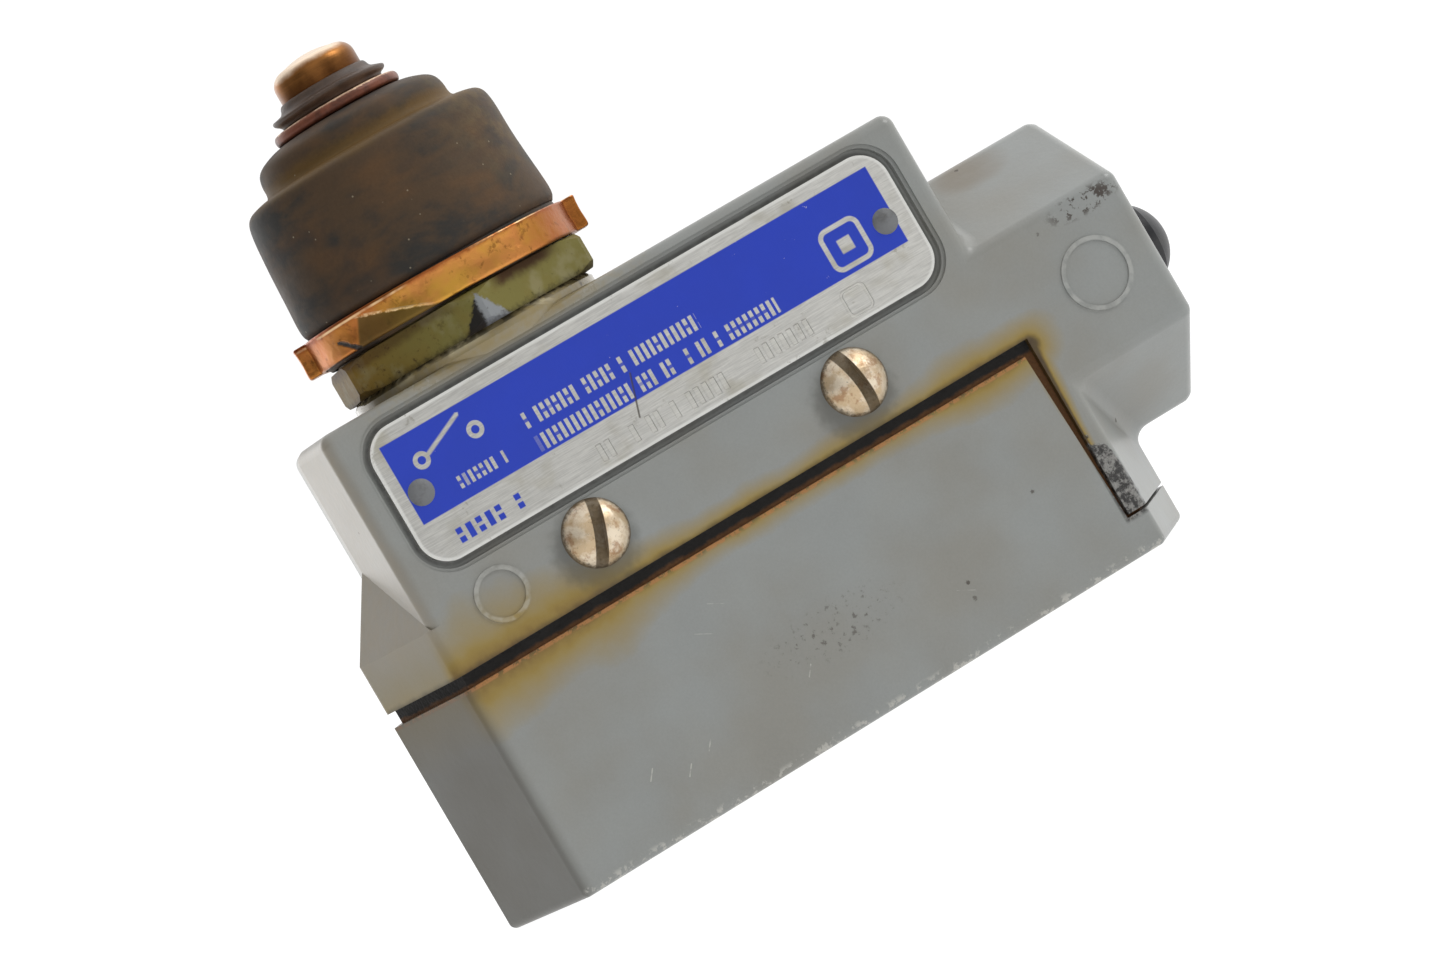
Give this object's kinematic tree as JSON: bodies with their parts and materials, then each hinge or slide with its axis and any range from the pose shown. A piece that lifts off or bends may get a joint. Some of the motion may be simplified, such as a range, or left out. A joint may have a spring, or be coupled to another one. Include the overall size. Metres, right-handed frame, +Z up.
{
  "type": "enclosed limit switch",
  "caption": "Die-cast enclosed limit switch with a rubber-booted top plunger, a side conduit hub and a snap-action switch with screw terminals inside.",
  "frame": {"origin": "on the back mounting face, midway between the two tapped mounting holes", "axes": "+X towards the conduit hub, +Y out of the back mounting face, +Z up along the plunger"},
  "size_m": [0.0907, 0.0288, 0.0807],
  "materials": {
    "grey_enamel": "semi-gloss enamel on a die casting, stained amber beside the gasket",
    "gasket_rubber": "dull black",
    "plated_steel": "plated",
    "fibre_sheet": "grey fibre",
    "nameplate_aluminium": "brushed, with a blue printed panel",
    "worn_nickel": "worn plating with brassy patches",
    "olive_plated_steel": "olive chromate, stained",
    "boot_rubber": "aged brown-black rubber",
    "copper_band": "heat-tinted copper colour",
    "red_oxide_steel": "reddish brown",
    "bronze": "polished by wear on its crown",
    "spring_steel": "drawn wire",
    "brass_parts": "plain",
    "phenolic": "dark brown moulding",
    "button_plastic": "red moulding",
    "blade_copper": "rolled spring copper",
    "contact_silver": "silver",
    "black_plastic": "black moulding"
  },
  "bodies": {
    "enclosure": {"boot": "boot_rubber", "boot_clamp": "copper_band", "bushing_seal": "gasket_rubber", "common_terminals": "brass_parts", "conduit_plug": "black_plastic", "cover": "grey_enamel", "cover_gasket": "gasket_rubber", "cover_screw_long": "plated_steel", "cover_screw_short": "plated_steel", "housing": "grey_enamel", "insulating_liner": "fibre_sheet", "nameplate": "nameplate_aluminium", "nameplate_rivets": "grey_enamel", "normally_closed_terminals": "brass_parts", "normally_open_terminals": "brass_parts", "overtravel_spring": "spring_steel", "plunger_bushing": "olive_plated_steel", "return_spring": "spring_steel", "switch_case": "phenolic", "switch_case_lid": "phenolic", "switch_case_rivets": "brass_parts", "switch_mounting_screws": "worn_nickel", "terminal_screws": "brass_parts"},
    "plunger": {"plunger": "bronze", "plunger_wiper": "boot_rubber", "boot_top_ring": "red_oxide_steel", "plunger_retaining_ring": "plated_steel", "spring_seat": "plated_steel", "inner_plunger_clip": "plated_steel"},
    "inner_plunger": {"inner_plunger": "brass_parts"},
    "switch_button": {"switch_button": "button_plastic"},
    "contact_blades": {"contact_blades": "blade_copper", "moving_contacts": "contact_silver"}
  },
  "joints": [
    {"name": "plunger_slide", "type": "slide", "parent": "enclosure", "child": "plunger", "axis": [0, 0, -1], "range_m": [0, 0.0055], "stiffness_N_per_m": 900, "springref_m": -0.004, "deforming": ["boot", "return_spring", "overtravel_spring"]},
    {"name": "inner_plunger_slide", "type": "slide", "parent": "enclosure", "child": "inner_plunger", "axis": [0, 0, -1], "range_m": [0, 0.00061]},
    {"name": "button_slide", "type": "slide", "parent": "enclosure", "child": "switch_button", "axis": [0, 0, -1], "range_m": [0, 0.00061]},
    {"name": "blade_snap", "type": "hinge", "parent": "enclosure", "child": "contact_blades", "pos_m": [0.01635, -0.0122, -0.0068], "axis": [0, -1, 0], "range_deg": [0, 1.26]}
  ],
  "couplings": [
    {"joint": "inner_plunger_slide", "follows": "plunger_slide", "ratio": 0.11},
    {"joint": "button_slide", "follows": "plunger_slide", "ratio": 0.11},
    {"joint": "blade_snap", "follows": "plunger_slide", "rad_per_m": 3.94}
  ]
}
